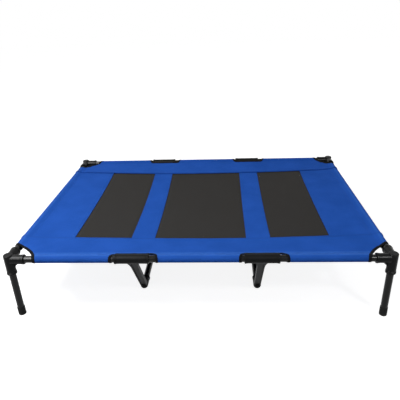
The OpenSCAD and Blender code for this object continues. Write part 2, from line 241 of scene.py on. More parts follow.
tubeLook = {
    "deep": (0.0030, 0.0032, 0.0033, 1),
    "pale": (0.0060, 0.0064, 0.0065, 1),
    "scratch": (0.085, 0.085, 0.083, 1),
    "scratchShare": 0.4,
    "scratchEdge": (0.66, 0.76),
    "scratchWhere": (0.45, 0.62),
    "gloss": 0.15,
    "rough": 0.17,
    "cloud": 22,
    "peel": 420,
    "mark": 520,
    "markDraw": 0.06,  # scale along a scratch against across it
    "bump": (0.05, 0.0005),
}


def coatedTube():
    finish, wire, shader = newFinish("coatedTube", {"Specular IOR Level": tubeLook["gloss"]})
    place = inPlace(wire)
    cloud = place.noise(tubeLook["cloud"], 3)
    peel = place.noise(tubeLook["peel"], 2)
    drawnY = place.stretched((1, tubeLook["markDraw"], 1)).noise(tubeLook["mark"], 3, 0.6)
    drawnX = place.stretched((tubeLook["markDraw"], 1, 1)).noise(tubeLook["mark"], 3, 0.6)
    marks = drawnY.larger(drawnX).between(*tubeLook["scratchEdge"])
    marks = marks * cloud.between(*tubeLook["scratchWhere"])
    colour = cloud.blend(tubeLook["deep"], tubeLook["pale"])
    colour = (marks * tubeLook["scratchShare"]).blend(colour, tubeLook["scratch"])
    roughness = tubeLook["rough"] + 0.08 * cloud + 0.20 * marks
    normal = peel.bump(*tubeLook["bump"])
    finishSurface(wire, shader, colour, roughness, normal)
    return finish


rubberLook = {
    "deep": (0.009, 0.0095, 0.0095, 1),
    "pale": (0.018, 0.018, 0.018, 1),
    "dust": (0.110, 0.105, 0.098, 1),
    "dustShare": 0.45,
    "dustTop": (0.001, 0.012),  # heights over the floor between which the dust fades
    "dustWhere": (0.35, 0.65),
    "gloss": 0.07,
    "rough": 0.62,
    "cloud": 60,
    "speckle": 2200,
    "bump": (0.22, 0.0004),
}


def footRubber():
    finish, wire, shader = newFinish("footRubber", {"Specular IOR Level": rubberLook["gloss"]})
    place = inPlace(wire)
    cloud = place.noise(rubberLook["cloud"], 4)
    speckle = place.noise(rubberLook["speckle"], 2)
    low = 1 - place.part(2).between(*rubberLook["dustTop"])
    dusty = low * cloud.between(*rubberLook["dustWhere"])
    colour = speckle.blend(rubberLook["deep"], rubberLook["pale"])
    colour = (dusty * rubberLook["dustShare"]).blend(colour, rubberLook["dust"])
    roughness = rubberLook["rough"] + 0.14 * cloud + 0.12 * dusty
    normal = speckle.bump(*rubberLook["bump"])
    finishSurface(wire, shader, colour, roughness, normal)
    return finish


# finishes of the sheet
clothLook = {
    "deep": (0.0140, 0.080, 0.390, 1),
    "pale": (0.0210, 0.104, 0.495, 1),
    # painted shade colour: between the yarns, on the rear hem and beside the long seams
    "shade": (0.004, 0.034, 0.200, 1),
    "yarnPaintedShade": 0.18,  # share of the painted shade between the yarns
    "rearPaintedShade": 0.20,  # painted shade on the rear hem
    "rearEdge": (-0.004, 0.004),  # where it starts, from the stitch line
    "seamPaintedShade": 0.14,  # painted shade beside the long seams
    "rearSeamPaintedShade": 0.22,  # and this much more at the rear one
    "seamStart": (-0.003, 0),  # where that shade starts and ends, from the seam
    "seamEnd": (0.004, 0.013),
    "rearSide": (-0.2, 0.2),  # between these the front side passes into the rear side
    "paintedHighlight": (0.056, 0.190, 0.640, 1),  # painted highlight: paler bands over the rails
    "highlightSide": 0.34,  # share of that tone on the side hems
    "highlightFront": 0.62,  # and on the front hem, where the painted highlight is stronger
    "highlightAll": 0.46,  # part of these shares that is there all along
    "highlightPatch": 0.28,  # and in patches
    "patch": 60,
    "patchWhere": (0.20, 0.70),
    "sideStart": 0.007,  # a side band fades in over this length before the tube
    "frontStart": (-0.014, -0.006),  # and the front band here, from the stitch line
    "bandEnd": (0.002, 0.009),  # both fade out here, from where the cloth meets the tube
    "cloud": 9,
    "slub": 1500,  # uneven yarns
    "slubDraw": 0.02,  # scale along a yarn against across it
    "yarn": 0.00056,  # pitch of the weave
    "gloss": 0.014,
    "rough": 0.52,
    "bump": (0.30, 0.00018),
}


def paintedHighlightBands(flat):
    # share of the painted highlight: it starts before the tube and fades out round the top of it
    fromSide = abs(flat.part(0)) - stitchX
    fromFront = -1 * flat.part(1) - stitchY
    fadeOut = [slopeL + past for past in clothLook["bandEnd"]]
    sideBand = fromSide.between(slopeL - clothLook["sideStart"], slopeL) * (1 - fromSide.between(*fadeOut))
    frontBand = fromFront.between(*clothLook["frontStart"]) * (1 - fromFront.between(*fadeOut))
    paintedHighlight = (clothLook["highlightSide"] * sideBand).larger(clothLook["highlightFront"] * frontBand)
    patches = flat.noise(clothLook["patch"], 3).between(*clothLook["patchWhere"])
    return paintedHighlight * (clothLook["highlightAll"] + clothLook["highlightPatch"] * patches)


def seamPaintedShade(flat):
    # share of the painted shade in the dip beside the long seams, deeper at the rear
    fromSeam = abs(flat.part(1)) - cot["seamY"]
    seamShadeMask = fromSeam.between(*clothLook["seamStart"]) * (1 - fromSeam.between(*clothLook["seamEnd"]))
    rear = flat.part(1).between(*clothLook["rearSide"])
    return (clothLook["seamPaintedShade"] + clothLook["rearSeamPaintedShade"] * rear) * seamShadeMask


def wovenCloth():
    finish, wire, shader = newFinish("wovenCloth", {"Specular IOR Level": clothLook["gloss"]})
    flat = onCloth(wire)
    along = flat.part(0) * (math.pi / clothLook["yarn"])
    across = flat.part(1) * (math.pi / clothLook["yarn"])
    weave = along.sine() * across.sine()
    warp = flat.stretched((1, clothLook["slubDraw"], 1)).noise(clothLook["slub"], 2)
    weft = flat.stretched((clothLook["slubDraw"], 1, 1)).noise(clothLook["slub"], 2)
    yarns = 0.5 * warp + 0.5 * weft
    cloud = flat.noise(clothLook["cloud"], 4, 0.55)
    tone = (0.55 * cloud + 0.45 * yarns).between(0.30, 0.70)
    raised = (0.5 + 0.5 * weave).between(0, 1)
    rearShadeMask = (flat.part(1) - stitchY).between(*clothLook["rearEdge"])
    colour = tone.blend(clothLook["deep"], clothLook["pale"])
    # painted shade in the hollows between the yarns
    colour = (clothLook["yarnPaintedShade"] * (1 - raised)).blend(colour, clothLook["shade"])
    # painted highlight along the hems, over the rails
    colour = paintedHighlightBands(flat).blend(colour, clothLook["paintedHighlight"])
    # painted shade along the rear hem
    colour = (clothLook["rearPaintedShade"] * rearShadeMask).blend(colour, clothLook["shade"])
    # painted shade beside the long seams
    colour = seamPaintedShade(flat).blend(colour, clothLook["shade"])
    roughness = clothLook["rough"] + 0.14 * yarns + 0.08 * (1 - raised)
    normal = (0.7 * weave + yarns).bump(*clothLook["bump"])
    finishSurface(wire, shader, colour, roughness, normal)
    return finish


netLook = {
    "deep": (0.010, 0.0095, 0.009, 1),
    "pale": (0.024, 0.022, 0.020, 1),
    "cell": 0.0021,  # pitch of the openings
    "open": 0.12,  # share of the pitch that is open
    "soft": 0.03,  # softness of an opening's edge, in pitches
    "drift": 2.0,  # how far the yarns wander, in pitches
    "wanderX": 44,
    "wanderY": 37,
    "strand": 5200,  # waves of the strands, in radians to a metre
    "cloud": 14,
    "gloss": 0.06,
    "rough": 0.52,
    "bump": (0.14, 0.0002),
}


def wovenNet():
    finish, wire, shader = newFinish("wovenNet", {"Specular IOR Level": netLook["gloss"]})
    flat = onCloth(wire)
    along = flat.part(0) / netLook["cell"] + netLook["drift"] * flat.noise(netLook["wanderX"], 2)
    across = flat.part(1) / netLook["cell"] + netLook["drift"] * flat.noise(netLook["wanderY"], 2)
    yarn = abs(along.fraction() - 0.5).larger(abs(across.fraction() - 0.5))
    half = netLook["open"] / 2
    cover = yarn.between(half - netLook["soft"], half + netLook["soft"])
    ridge = yarn.between(half, 0.5)
    strands = (flat.part(0) * netLook["strand"]).sine() * (flat.part(1) * netLook["strand"]).sine()
    cloud = flat.noise(netLook["cloud"], 3)
    colour = (0.5 * ridge + 0.5 * cloud).blend(netLook["deep"], netLook["pale"])
    roughness = netLook["rough"] + 0.16 * cloud
    normal = (ridge + 0.1 * strands).bump(*netLook["bump"])
    finishSurface(wire, shader, colour, roughness, normal, cover)
    return finish


tapeLook = {
    "deep": (0.0030, 0.0033, 0.0040, 1),
    "pale": (0.0085, 0.0090, 0.0105, 1),
    "rib": 0.0011,  # pitch of the ribs across the tape
    "fine": 0.0006,  # pitch of the threads along it
    "cloud": 90,
    "gloss": 0.03,
    "rough": 0.58,
    "bump": (0.5, 0.0003),
}


def ribbedTape():
    finish, wire, shader = newFinish("ribbedTape", {"Specular IOR Level": tapeLook["gloss"]})
    flat = onCloth(wire)
    rib = (flat.part(0) * (2 * math.pi / tapeLook["rib"])).sine()
    fine = (flat.part(1) * (2 * math.pi / tapeLook["fine"])).sine()
    cloud = flat.noise(tapeLook["cloud"], 3)
    tone = (0.4 * rib + 0.3 * fine + cloud).between(0.1, 1.1)
    colour = tone.blend(tapeLook["deep"], tapeLook["pale"])
    roughness = tapeLook["rough"] + 0.15 * cloud
    normal = (0.6 * rib + 0.3 * fine).bump(*tapeLook["bump"])
    finishSurface(wire, shader, colour, roughness, normal)
    return finish


threadLook = {
    "blue": (0.017, 0.072, 0.300, 1),
    "black": (0.014, 0.014, 0.016, 1),
    "twistHighlight": 1.5,  # painted highlight on the top of the twist, against the rest
    "twist": 5200,
    "lift": 300,
    "gloss": 0.04,
    "rough": 0.5,
    "bump": (0.4, 0.0002),
}


def sewingThread(name, colour):
    finish, wire, shader = newFinish(name, {"Specular IOR Level": threadLook["gloss"]})
    place = inPlace(wire)
    twist = ((place.part(0) + place.part(1) + place.part(2)) * threadLook["twist"]).sine()
    lift = place.noise(threadLook["lift"], 2)
    # the lighter copy of the thread colour is a painted highlight on the top of each twist, mixed with random
    # tone
    light = tuple(min(1, threadLook["twistHighlight"] * part) for part in colour[:3]) + (1,)
    tone = (0.35 + 0.25 * twist + 0.3 * lift).blend(colour, light)
    roughness = threadLook["rough"] + 0.15 * lift
    finishSurface(wire, shader, tone, roughness, twist.bump(*threadLook["bump"]))
    return finish


finishes = {
    "joint_plastic": mouldedPlastic("jointPlastic", **plasticLook["joint"]),
    "tube_steel": coatedTube(),
    "foot_rubber": footRubber(),
    "sheet_cloth": wovenCloth(),
    "window_mesh": wovenNet(),
    "binding_tape": ribbedTape(),
}
supportPlastic = mouldedPlastic("supportPlastic", **plasticLook["support"])
blueThread = sewingThread("blueThread", threadLook["blue"])
blackThread = sewingThread("blackThread", threadLook["black"])
for node, solid in cadNodes.items():
    for place in solid.material_slots:
        place.material = supportPlastic if node.startswith("support_leg") else finishes[slotOf[node]]
print("finishes made:", len(finishes) + len((supportPlastic, blueThread, blackThread)))


# the sheet: every piece is cut flat, in metres from the middle of the
# sheet along the cloth, and then laid onto the frame
def hemPath(length):
    # section of a hem at a cloth length past the stitch line:
    # how far in and up from the rail's axis, and the normal there
    turn = np.clip((length - slopeL) / hem["clothR"], 0, wrapL / hem["clothR"])
    angle = hemRay + hemSpread + turn
    normalIn = np.cos(angle)
    normalUp = np.sin(angle)
    back = np.clip(length - slopeL - wrapL, 0, slopeL)
    straight = np.minimum(length - slopeL, 0) + back
    tail = np.maximum(length - backL, 0)
    inward = hem["clothR"] * normalIn - straight * normalUp + tail
    up = hem["clothR"] * normalUp + straight * normalIn - hem["underLayer"] * (back / slopeL) ** 2
    return inward, up, normalIn, normalUp


slack = {
    "sag": 0.028,  # of the middle of the sheet
    "broad": 0.0011,  # slow unevenness of the whole sheet
    "broadEdge": 0.03,  # it fades over this much inside the hems
    "broadWaves": ((7.1, 2.3, 0.6), (-1.9, 8.7, 0.4)),  # along x, along y, start; in line with nothing
    "corner": 0.0008,  # pulls that fan out from the corner cut-outs
    "cornerFade": 0.07,
    "cornerFan": 26,  # waves in the fan, in radians to a radian
    "cornerStart": (3, 1.7),  # so that no two corners have the same
    "hem": 0.00035,  # puckers along the hems
    "hemEdge": 0.008,  # they start over this much
    "hemFade": 0.022,
    "pucker": 0.041,  # their pitch
    "unevenX": (2.2, 17),  # which shifts by so many radians, in waves along x
    "unevenY": (1.4, 23),  # and along y
}
cornerCut = {
    "radius": 0.129,
    "reach": 0.069,  # along each rail's axis, from the post
    "tape": 0.009,  # width of the binding
    "short": 0.003,  # the binding ends this much before the hem comes back to its stitches
    "turnStep": 0.012,  # in radians
}
cornerRoot = math.sqrt(2 * cornerCut["radius"] ** 2 - cornerCut["reach"] ** 2)
cornerCut["centre"] = (cornerRoot - cornerCut["reach"]) / 2  # past the post, both ways


def softStep(value, low, high):
    part = np.clip((value - low) / (high - low), 0, 1)
    return part * part * (3 - 2 * part)


def sheetHeight(x, y):
    height = cot["railZ"] + hem["stitchUp"]
    height = height - slack["sag"] * (1 - (x / stitchX) ** 2) * (1 - (y / stitchY) ** 2)
    fromHem = np.minimum(stitchX - np.abs(x), stitchY - np.abs(y))
    inside = softStep(fromHem, 0, slack["broadEdge"])
    first, second = [np.sin(alongX * x + alongY * y + start) for alongX, alongY, start in slack["broadWaves"]]
    height = height + inside * slack["broad"] * first * second
    shiftX, waveX = slack["unevenX"]
    shiftY, waveY = slack["unevenY"]
    uneven = shiftX * np.sin(waveX * x) + shiftY * np.sin(waveY * y)
    ripple = np.sin(2 * math.pi * (x + y) / slack["pucker"] + uneven)
    nearHem = np.exp(-fromHem / slack["hemFade"]) * softStep(fromHem, 0, slack["hemEdge"])
    height = height + slack["hem"] * ripple * nearHem
    awayX = cot["postX"] - np.abs(x - cot["slid"]) + cornerCut["centre"]
    awayY = cot["postY"] - np.abs(y) + cornerCut["centre"]
    away = np.hypot(awayX, awayY) - cornerCut["radius"]
    startX, startY = slack["cornerStart"]
    fan = np.sin(slack["cornerFan"] * np.arctan2(awayY, awayX) + startX * np.sign(x) + startY * np.sign(y))
    return height + inside * slack["corner"] * fan * np.exp(-np.maximum(away, 0) / slack["cornerFade"])


def onFrame(flat, lift):
    # lays flat cloth points onto the frame; lift is the height over the cloth's middle
    flat = np.asarray(flat, float)
    lift = np.broadcast_to(lift, len(flat))
    overX = np.abs(flat[:, 0]) - stitchX
    overY = np.abs(flat[:, 1]) - stitchY
    insideX = np.clip(flat[:, 0], -stitchX, stitchX)
    insideY = np.clip(flat[:, 1], -stitchY, stitchY)
    spot = np.column_stack((flat, sheetHeight(insideX, insideY) + lift))
    onLong = (overY > 0) & (overY >= overX)
    onSide = (overX > 0) & (overX > overY)
    for chosen, over, axis, post in ((onLong, overY, 1, cot["postY"]), (onSide, overX, 0, cot["postX"])):
        inward, up, normalIn, normalUp = hemPath(over[chosen])
        side = np.sign(flat[chosen, axis])
        spot[chosen, axis] = side * (post - inward - normalIn * lift[chosen])
        spot[chosen, 2] = cot["railZ"] + up + normalUp * lift[chosen]
    return spot


cutout = {
    "roundX": 0.0535,  # centre of the inner corners' rounding, from the support's middle
    "roundIn": 0.0055,  # and in from the rail's axis
    "round": 0.012,
    "outerX": 0.059,  # the same line, further out, past the rail
    "outerIn": -0.0135,
    "tape": 0.007,  # width of the binding
    "short": 0.006,  # as at the corners
    "roundLines": 9,
    "topStep": 0.004,
}
cutoutLean = math.atan2(cutout["outerX"] - cutout["roundX"], cutout["roundIn"] - cutout["outerIn"])


def cutGap(flat):
    # distance of flat cloth points from the nearest cut-out, positive on the cloth
    plan = onFrame(flat, 0.0)
    fromMiddle = np.abs(plan[:, 0] - cot["slid"])
    inward = cot["postY"] - np.abs(plan[:, 1])
    awayX = cot["postX"] - fromMiddle + cornerCut["centre"]
    corner = np.hypot(awayX, inward + cornerCut["centre"]) - cornerCut["radius"]
    pastX = np.abs(fromMiddle - cot["supportX"]) - cutout["roundX"]
    pastIn = inward - cutout["roundIn"]
    aside = pastX * math.cos(cutoutLean) + pastIn * math.sin(cutoutLean)
    beyond = -pastX * math.sin(cutoutLean) + pastIn * math.cos(cutoutLean)
    beside = np.where(pastX <= 0, np.maximum(aside, pastIn), aside)
    past = np.where(pastX <= 0, pastIn, np.hypot(pastX, pastIn))
    core = np.where(beyond <= 0, beside, past)
    return np.minimum(corner, core - cutout["round"])


def gapSlope(flat):
    step = 0.0002
    parts = []
    for axis in range(2):
        move = np.zeros(2)
        move[axis] = step
        parts.append((cutGap(flat + move) - cutGap(flat - move)) / (2 * step))
    return np.column_stack(parts)


def spotsOf(mesh):
    spots = np.zeros(len(mesh.vertices) * 3)
    mesh.vertices.foreach_get("co", spots)
    return spots.reshape(-1, 3)


def moveSpots(mesh, spots):
    mesh.vertices.foreach_set("co", np.asarray(spots, float).ravel())
    mesh.update()


def deselectAll():
    bpy.ops.object.select_all(action="DESELECT")


def flatGrid(name, xs, ys):
    # grid with its lines at the given places
    deselectAll()
    bpy.ops.mesh.primitive_grid_add(x_subdivisions=len(xs) - 1, y_subdivisions=len(ys) - 1, size=2)
    piece = bpy.context.object
    piece.name = name
    piece.data.name = name
    spots = spotsOf(piece.data)
    column = np.rint((spots[:, 0] + 1) / 2 * (len(xs) - 1)).astype(int)
    row = np.rint((spots[:, 1] + 1) / 2 * (len(ys) - 1)).astype(int)
    spots[:, 0] = xs[column]
    spots[:, 1] = ys[row]
    moveSpots(piece.data, spots)
    piece.data.uv_layers[0].name = "cloth"
    return piece


def keepFlat(piece):
    # writes the flat places into the UV map, and gives the flat size and area
    mesh = piece.data
    spots = spotsOf(mesh)
    corners = np.zeros(len(mesh.loops), int)
    mesh.loops.foreach_get("vertex_index", corners)
    mesh.uv_layers["cloth"].data.foreach_set("uv", spots[corners, :2].ravel())
    size = spots.max(0) - spots.min(0)
    return (size[0], size[1]), sum(face.area for face in mesh.polygons)


trim = {
    "margin": 0.0009,  # the cloth ends this far inside its binding
    "near": 0.007,  # edge points closer than this are drawn onto the outline
    "longest": 0.004,  # longest move of a round
    "flattest": 0.05,  # least slope, squared, that a move reckons with
    "rounds": 5,
}


def trimEdges(piece):
    # takes away the cut-outs and draws the cloth's new edge onto their outline
    mesh = piece.data
    body = bmesh.new()
    body.from_mesh(mesh)
    middles = np.array([face.calc_center_median()[:2] for face in body.faces])
    gaps = cutGap(middles)
    gone = [face for face, gap in zip(body.faces, gaps) if gap < trim["margin"]]
    bmesh.ops.delete(body, geom=gone, context="FACES")
    edge = [vert for vert in body.verts if vert.is_boundary]
    flat = np.array([vert.co[:2] for vert in edge])
    near = cutGap(flat) < trim["near"]
    for step in range(trim["rounds"]):
        slope = gapSlope(flat)
        size = np.maximum((slope ** 2).sum(1), trim["flattest"])
        move = slope * ((cutGap(flat) - trim["margin"]) / size)[:, None]
        flat = flat - np.where(near[:, None], np.clip(move, -trim["longest"], trim["longest"]), 0)
    for vert, spot in zip(edge, flat):
        vert.co = (spot[0], spot[1], 0)
    body.to_mesh(mesh)
    body.free()


smoothAngle = math.radians(50)  # sharper edges stay sharp


def thicken(piece, thickness):
    deselectAll()
    piece.select_set(True)
    bpy.context.view_layer.objects.active = piece
    wall = piece.modifiers.new("wall", "SOLIDIFY")
    wall.thickness = thickness
    wall.offset = 0
    bpy.ops.object.modifier_apply(modifier=wall.name)
    bpy.ops.object.shade_smooth_by_angle(angle=smoothAngle)


def sewPiece(piece, slotName, replaced):
    piece.data.materials.clear()
    piece.data.materials.append(finishes[slotName])
    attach(piece, "frame")
    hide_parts(replaced)


def evenLines(stops, step):
    # lines from stop to stop, none further apart than the step
    spare = 1e-6  # so that rounding adds no line
    lines = [np.array([stops[0]])]
    for low, high in zip(stops, stops[1:]):
        count = max(1, math.ceil((high - low) / step - spare))
        lines.append(np.linspace(low, high, count + 1)[1:])
    return np.concatenate(lines)


def hemLines(stitchLine):
    # lines across a hem, closer together round the tube
    ends = stitchLine + np.array([0, slopeL, slopeL + wrapL, backL, hemL])
    slope = evenLines(ends[:2], hem["slopeStep"])
    wrap = evenLines(ends[1:3], hem["wrapStep"])[1:]
    back = evenLines(ends[2:], hem["backStep"])[1:]
    return np.concatenate((slope, wrap, back))


seam = {
    "lap": 0.012,  # cloth under the seam
    "turn": 0.010,  # cloth turned under at a sewn edge
    "fold": 0.00055,  # half of the height between the two layers there
    "raise": 0.0012,  # the long bands lie this much over the rest
    "drop": 0.0010,  # and the rest is drawn down this much
    "hemDrop": 0.0003,  # or this much, round the rails
    "hemEase": 0.02,  # with this length between the two
    "netDrop": 0.0012,  # the windows' edges lie this much under the cloth
    "ease": 0.012,  # a piece goes down over this length before the seam
    "tuck": 0.001,  # and is all the way down this far before it
    "rows": (0.0028, 0.0088),  # stitch rows, from the edge
    "dent": 0.0003,  # dent along a stitch row
    "dentWide": 0.0016,
    "dentStep": 0.0009,  # lines of the cloth on both sides of a row
    "fineStep": 0.003,  # size of the faces near a seam
    "step": 0.0055,  # and of the rest
    "cloth": 0.0007,  # thickness
    "net": 0.0002,
}


def dented(distance):
    # dents of the two stitch rows at a distance in from a cloth's edge
    dent = np.zeros_like(distance)
    for row in seam["rows"]:
        dent -= seam["dent"] * np.exp(-((distance - row) / seam["dentWide"]) ** 2)
    return dent


def turnedEdge(distance, rise):
    # cloth turned under at its edge: the distance from the fold, along the cloth,
    # gives how far in from the edge it comes to lie, and its lift
    half = seam["fold"] * math.pi / 2
    angle = np.clip(distance, -half, half) / seam["fold"]
    inside = seam["fold"] * (1 - np.cos(angle)) + np.maximum(np.abs(distance) - half, 0)
    settled = softStep(inside, seam["turn"], 2 * seam["turn"])
    lift = (seam["fold"] * np.sin(angle) + rise) * (1 - settled)
    return inside, lift + dented(inside) * (distance > 0)


def uniqueLines(*parts):
    return np.unique(np.round(np.concatenate(parts), 7))


def edgeLines(edge, inner):
    # lines from a turned edge: the part under it, the fold, and on past the stitch rows
    toward = 1 if inner > edge else -1
    half = seam["fold"] * math.pi / 2
    under = [-seam["turn"], -seam["turn"] / 2, -half, -half / 2, 0, half / 2, half]
    over = [row + aside for row in seam["rows"] for aside in (-seam["dentStep"], 0, seam["dentStep"])]
    between = sum(seam["rows"]) / 2
    close = edge + toward * np.array(under + over + [between, seam["ease"]])
    return uniqueLines(close, evenLines(sorted((close[-1], inner)), seam["step"]))


def lappedLines(low, high):
    # lines from seam to seam of a piece that lies under both, closer together there
    first = low + seam["ease"]
    last = high - seam["ease"]
    return uniqueLines(
        evenLines((low - seam["lap"], first), seam["fineStep"]),
        evenLines((first, last), seam["step"]),
        evenLines((last, high + seam["lap"]), seam["fineStep"]),
    )


windows = {side: [corner.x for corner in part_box("mesh_" + side)] for side in ("left", "middle", "right")}
middleLines = lappedLines(-cot["seamY"], cot["seamY"])
sheets = []


def clothPiece(name, xs, ys, lay, slotName, thickness, trimmed):
    # lay gives, for the flat cut, where each point comes to lie, and its lift
    piece = flatGrid(name + "_sewn", xs, ys)
    if trimmed:
        trimEdges(piece)
    size, area = keepFlat(piece)
    spot, lift = lay(spotsOf(piece.data)[:, :2])
    moveSpots(piece.data, onFrame(spot, lift))
    thicken(piece, thickness)
    sewPiece(piece, slotName, name)
    sheets.append((name, size, area))


def longPanel(name, end):
    # band along a long rail, on top of what it is sewn to
    beyond = hemLines(stitchX)
    xs = uniqueLines(-beyond, evenLines((-stitchX, stitchX), seam["step"]), beyond)
    ys = np.sort(end * uniqueLines(edgeLines(cot["seamY"], stitchY), hemLines(stitchY)))

    def lay(flat):
        inside, lift = turnedEdge(end * flat[:, 1] - cot["seamY"], seam["raise"])
        return np.column_stack((flat[:, 0], end * (cot["seamY"] + inside))), lift

    clothPiece(name, xs, ys, lay, "sheet_cloth", seam["cloth"], True)


def underBand(spot):
    # how far a piece is drawn down where the long bands lie over it, less so round the rails
    offHem = softStep(stitchX - np.abs(spot[:, 0]), 0, seam["hemEase"])
    drop = seam["hemDrop"] + (seam["drop"] - seam["hemDrop"]) * offHem
    return -drop * softStep(np.abs(spot[:, 1]), cot["seamY"] - seam["ease"], cot["seamY"] - seam["tuck"])


def endPanel(name, side, edge):
    xs = np.sort(side * uniqueLines(edgeLines(side * edge, stitchX), hemLines(stitchX)))

    def lay(flat):
        inside, lift = turnedEdge(side * (flat[:, 0] - edge), 0)
        spot = np.column_stack((edge + side * inside, flat[:, 1]))
        return spot, lift + underBand(spot)

    clothPiece(name, xs, middleLines, lay, "sheet_cloth", seam["cloth"], True)


def strip(name, low, high):
    middle = (low + high) / 2
    xs = uniqueLines(edgeLines(low, middle), edgeLines(high, middle))

    def lay(flat):
        onLeft = flat[:, 0] < middle
        inside, lift = turnedEdge(np.where(onLeft, flat[:, 0] - low, high - flat[:, 0]), 0)
        spot = np.column_stack((np.where(onLeft, low + inside, high - inside), flat[:, 1]))
        return spot, lift + underBand(spot)

    clothPiece(name, xs, middleLines, lay, "sheet_cloth", seam["cloth"], False)


def netWindow(name, low, high):
    def lay(flat):
        inside = np.minimum(flat[:, 0] - low, high - flat[:, 0])
        return flat, underBand(flat) - seam["netDrop"] * (1 - softStep(inside, seam["tuck"], seam["ease"]))

    clothPiece(name, lappedLines(low, high), middleLines, lay, "window_mesh", seam["net"], False)


longPanel("front_panel", -1)
longPanel("rear_panel", 1)
endPanel("left_panel", -1, windows["left"][0])
endPanel("right_panel", 1, windows["right"][1])
strip("strip_left", windows["left"][1], windows["middle"][0])
strip("strip_right", windows["middle"][1], windows["right"][0])
for side, (low, high) in windows.items():
    netWindow("mesh_" + side, low, high)
print("sheet laid:", len(sheets), "pieces")


# binding tape, folded over the cut edges
tape = {
    "thick": 0.0005,
    "over": 0.00072,  # height of its middle over the cloth's
    "under": 0.00072,  # and under it
    "underHem": 0.0003,  # or under a hem, where the tube is near
    "fold": 0.0005,  # it stands out this much past the cut edge
    "step": 0.0018,
    "across": (1, 0.8, 0.6, 0.4, 0.2, 0.06, 0, 0, 0.06, 0.2, 0.5, 0.8),  # its section, in widths
    "level": (0.75, 1, 1.1, 1.1, 1, 0.95, 0.5, -0.5, -0.95, -1, -1, -0.8),  # and in heights
}


def cornerEdge(side, end):
    # flat outline of a corner cut-out, from under the long rail to under the side rail
    radius = cornerCut["radius"]
    centre = cornerCut["centre"]
    lengths = evenLines((0, backL - cornerCut["short"]), tape["step"])[1:]
    inward = hemPath(lengths)[0]
    fromPost = np.sqrt(radius ** 2 - (inward + centre) ** 2) - centre
    longX = side * (cot["postX"] - fromPost) + cot["slid"]
    longPart = np.column_stack((longX, end * (stitchY + lengths)))[::-1]
    sideX = side * (cot["postX"] - inward)
    fromPost = cot["postX"] - np.abs(sideX - cot["slid"])
    inward = np.sqrt(radius ** 2 - (fromPost + centre) ** 2) - centre
    sidePart = np.column_stack((side * (stitchX + lengths), end * (cot["postY"] - inward)))
    sideStitch = cot["postX"] - np.abs(side * stitchX - cot["slid"])
    start = math.asin((hem["stitchIn"] + centre) / radius)
    finish = math.acos((sideStitch + centre) / radius)
    turn = evenLines((start, finish), cornerCut["turnStep"])
    arcX = side * (cot["postX"] + centre - radius * np.cos(turn)) + cot["slid"]
    arcY = end * (cot["postY"] + centre - radius * np.sin(turn))
    return np.concatenate((longPart, np.column_stack((arcX, arcY)), sidePart))


def pastStitch(inward):
    # cloth length past the stitch line of a place on top of a hem, negative on the open sheet
    riseIn = math.cos(hemRay + hemSpread - math.pi / 2)  # how fast the slope runs out to the tube
    beyond = hem["stitchIn"] - inward
    return np.where(beyond > 0, beyond / riseIn, beyond)


def cutoutEdge(side, end):
    # flat outline of a hem cut-out, from under the rail up round its inner end and back down
    roundStart = cutout["roundIn"] + cutout["round"] * math.sin(cutoutLean)
    lengths = evenLines((float(pastStitch(roundStart)), backL - cutout["short"]), tape["step"])[::-1]
    inward = hemPath(lengths)[0]
    out = (cutout["round"] - (inward - cutout["roundIn"]) * math.sin(cutoutLean)) / math.cos(cutoutLean)
    legX = cutout["roundX"] + out
    turn = np.linspace(cutoutLean, math.pi / 2, cutout["roundLines"])[1:]
    roundX = cutout["roundX"] + cutout["round"] * np.cos(turn)
    roundPast = pastStitch(cutout["roundIn"] + cutout["round"] * np.sin(turn))
    topX = evenLines((-cutout["roundX"], cutout["roundX"]), cutout["topStep"])[1:-1]
    topPast = np.full(len(topX), roundPast[-1])
    aside = np.concatenate((-legX, -roundX, topX, roundX[::-1], legX[::-1]))
    past = np.concatenate((lengths, roundPast, topPast, roundPast[::-1], lengths[::-1]))
    return np.column_stack((cot["slid"] + side * cot["supportX"] + aside, end * (stitchY + past)))


def unit(vectors):
    return vectors / np.linalg.norm(vectors, axis=1)[:, None]


def inwardFrom(path):
    # square to the path, towards the cloth
    along = unit(np.gradient(path, axis=0))
    square = np.column_stack((-along[:, 1], along[:, 0]))
    middle = len(path) // 2
    spot = path[middle:middle + 1]
    reach = 0.001
    aside = reach * square[middle]
    return square if cutGap(spot + aside) > cutGap(spot - aside) else -square


def lengthAlong(path):
    steps = np.linalg.norm(np.diff(path, axis=0), axis=1)
    return np.concatenate(([0], np.cumsum(steps)))


def bindEdge(name, path, width):
    square = inwardFrom(path)
    across = np.array(tape["across"])
    level = np.array(tape["level"])
    along = lengthAlong(path)
    piece = flatGrid(name + "_sewn", np.arange(len(path)) * 1.0, np.arange(len(across)) * 1.0)
    cells = np.rint(spotsOf(piece.data)[:, :2]).astype(int)
    step = cells[:, 0]
    row = cells[:, 1]
    inset = width * across[row] - tape["fold"] * (across[row] == 0)
    flat = path[step] + square[step] * inset[:, None]
    past = np.maximum(np.abs(flat[:, 0]) - stitchX, np.abs(flat[:, 1]) - stitchY)
    under = np.where(past > 0, tape["underHem"], tape["under"])
    lift = level[row] * np.where(level[row] > 0, tape["over"], under)
    profile = lengthAlong(np.column_stack((across * width, level * tape["over"])))
    moveSpots(piece.data, np.column_stack((along[step], profile[row], np.zeros(len(step)))))
    size, area = keepFlat(piece)
    moveSpots(piece.data, onFrame(flat, lift))
    thicken(piece, tape["thick"])
    sewPiece(piece, "binding_tape", name)
    sheets.append((name, size, area))


